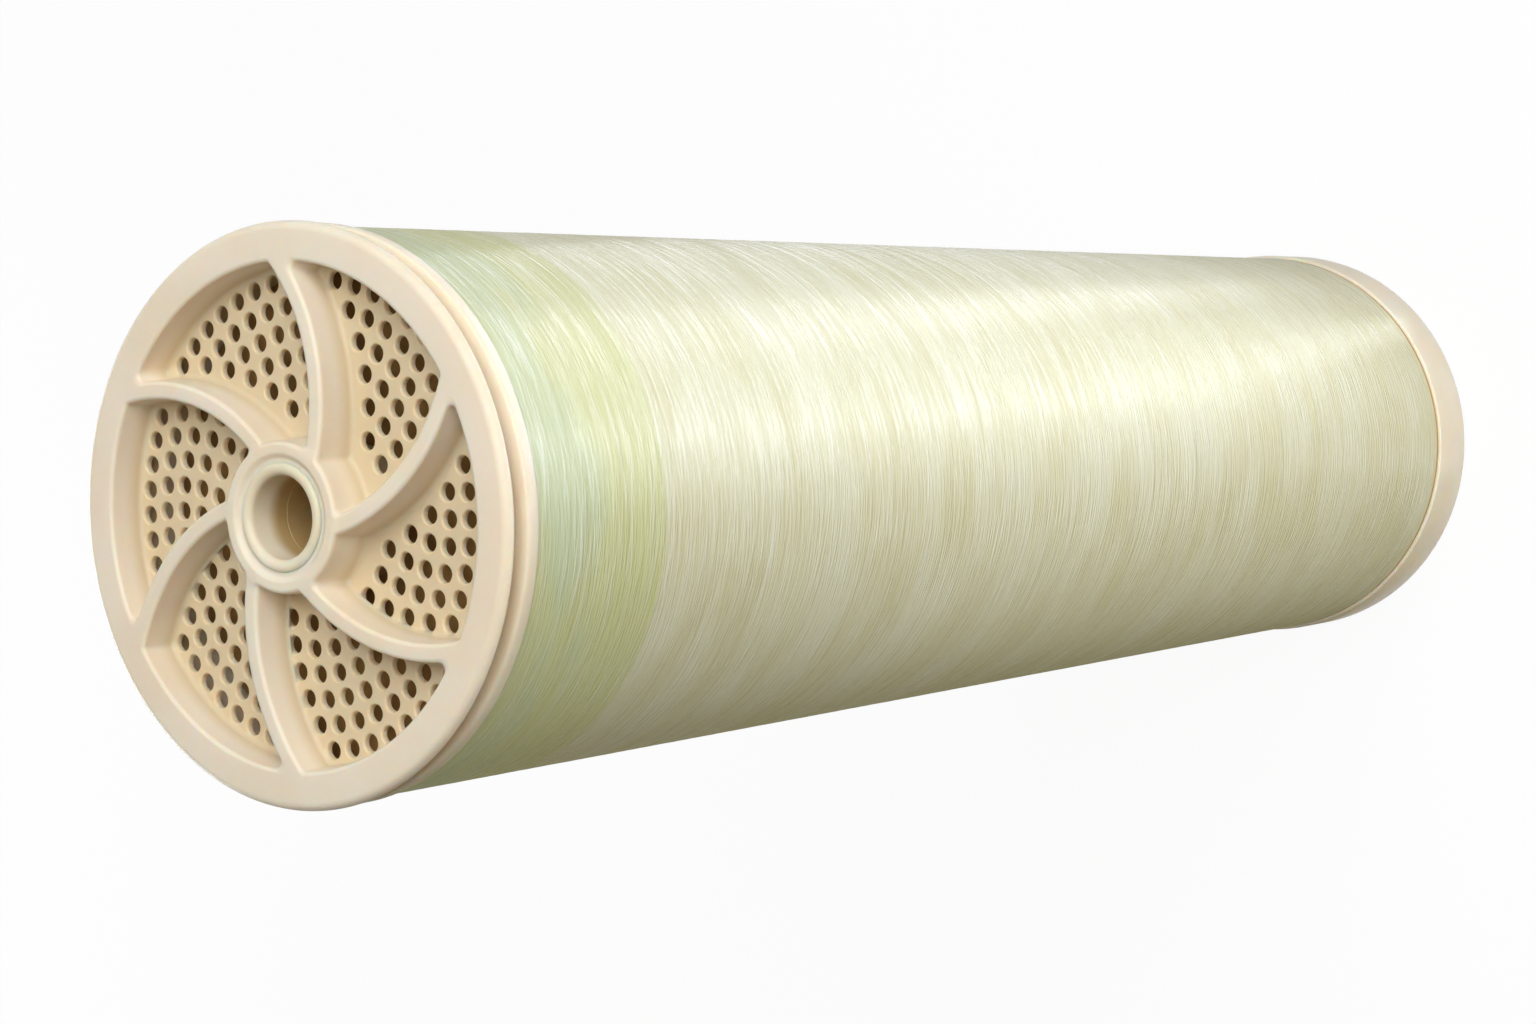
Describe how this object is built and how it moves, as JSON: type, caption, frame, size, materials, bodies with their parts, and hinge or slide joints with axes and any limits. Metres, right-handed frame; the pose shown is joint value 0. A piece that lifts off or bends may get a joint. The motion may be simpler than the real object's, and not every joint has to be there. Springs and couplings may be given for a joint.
{
  "type": "reverse osmosis membrane element",
  "caption": "Cylindrical spiral-wound water filter element: wound fibreglass shell, swirl-spoked end caps with a perforated feed plate, and a central permeate tube.",
  "frame": {"origin": "middle of the brine end's foot, on the surface that the element stands on", "axes": "+Z along the permeate tube from the brine end up to the feed end, +X and +Y across it"},
  "size_m": [0.201, 0.201, 0.7645],
  "materials": {
    "cap_plastic": "satin ivory moulded plastic",
    "tube_plastic": "satin ivory extruded plastic",
    "membrane": "layered film and mesh",
    "fibreglass": "glossy resin over pale green glass filament"
  },
  "bodies": {
    "root": {"feed_end_cap": "cap_plastic", "brine_end_cap": "cap_plastic", "permeate_tube": "tube_plastic", "membrane_roll": "membrane", "fibreglass_shell": "fibreglass"}
  },
  "joints": []
}
